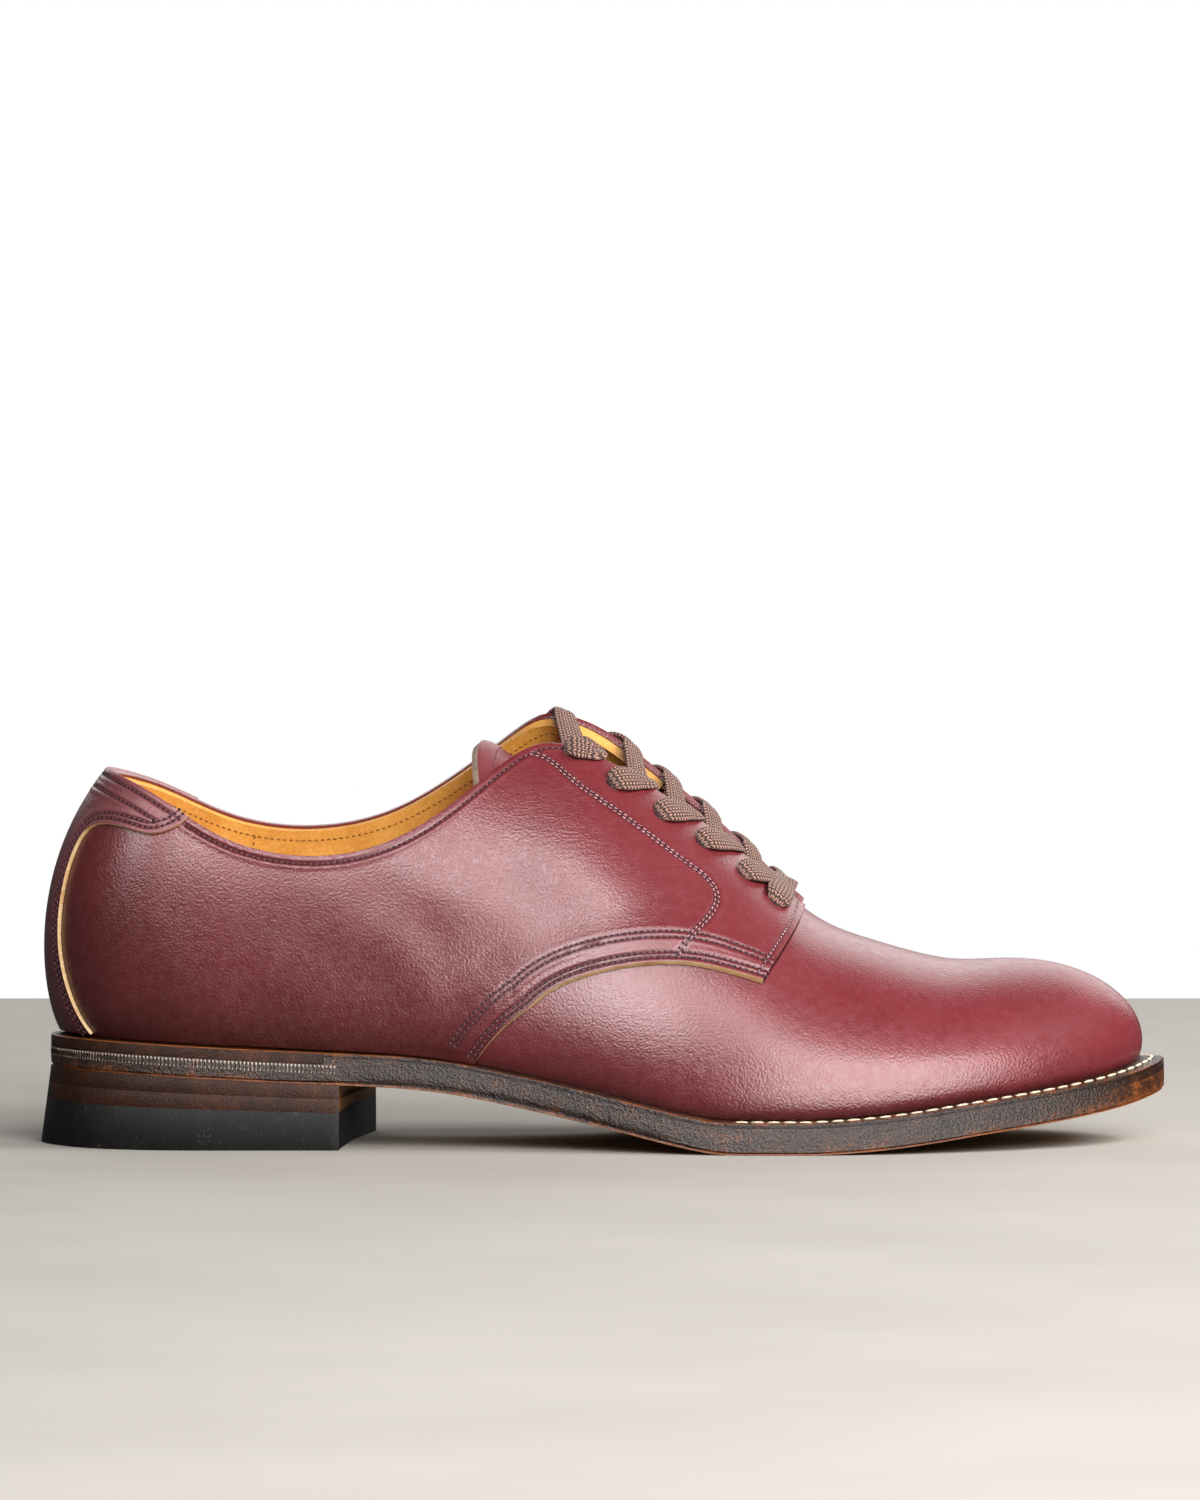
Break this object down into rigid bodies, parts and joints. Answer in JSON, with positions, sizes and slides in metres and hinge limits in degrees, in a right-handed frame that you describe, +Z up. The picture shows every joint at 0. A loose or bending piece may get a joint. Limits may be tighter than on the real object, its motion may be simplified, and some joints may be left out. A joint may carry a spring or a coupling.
{
  "type": "service shoe",
  "caption": "Right-foot derby service shoe: burgundy leather upper with open lacing, tongue and flat lace on a welted leather sole with stacked heel, hollow for the foot.",
  "frame": {"origin": "middle of the shoe's outline in plan, on the floor it stands on", "axes": "+X from heel to toe, +Y towards the inner (medial) side, +Z up"},
  "size_m": [0.3, 0.1021, 0.1156],
  "materials": {
    "vamp_leather": "waxed burgundy calf, soft gloss",
    "quarter_leather": "waxed burgundy calf, soft gloss, raw tan edge",
    "tongue_leather": "burgundy calf, raw edge",
    "tan_lining": "golden tan lining leather, matt",
    "sole_leather": "dark brown dyed sole edge, waxed",
    "heel_leather": "brown dyed heel leather, waxed",
    "heel_rubber": "black moulded rubber, matt",
    "lace_cotton": "brown braided cotton"
  },
  "bodies": {
    "root": {"upper": "vamp_leather", "quarter_lateral": "quarter_leather", "quarter_medial": "quarter_leather", "back_strap": "quarter_leather", "tongue": "tongue_leather", "insole": "tan_lining", "outsole": "sole_leather", "welt": "sole_leather", "heel_rand": "heel_leather", "heel_lift_upper": "heel_leather", "heel_lift_lower": "heel_leather", "heel_top_piece": "heel_rubber", "lace_bar": "lace_cotton", "lace_cross_2": "lace_cotton", "lace_cross_3": "lace_cotton", "lace_cross_4": "lace_cotton", "lace_cross_5": "lace_cotton", "lace_cross_6": "lace_cotton"}
  },
  "joints": []
}
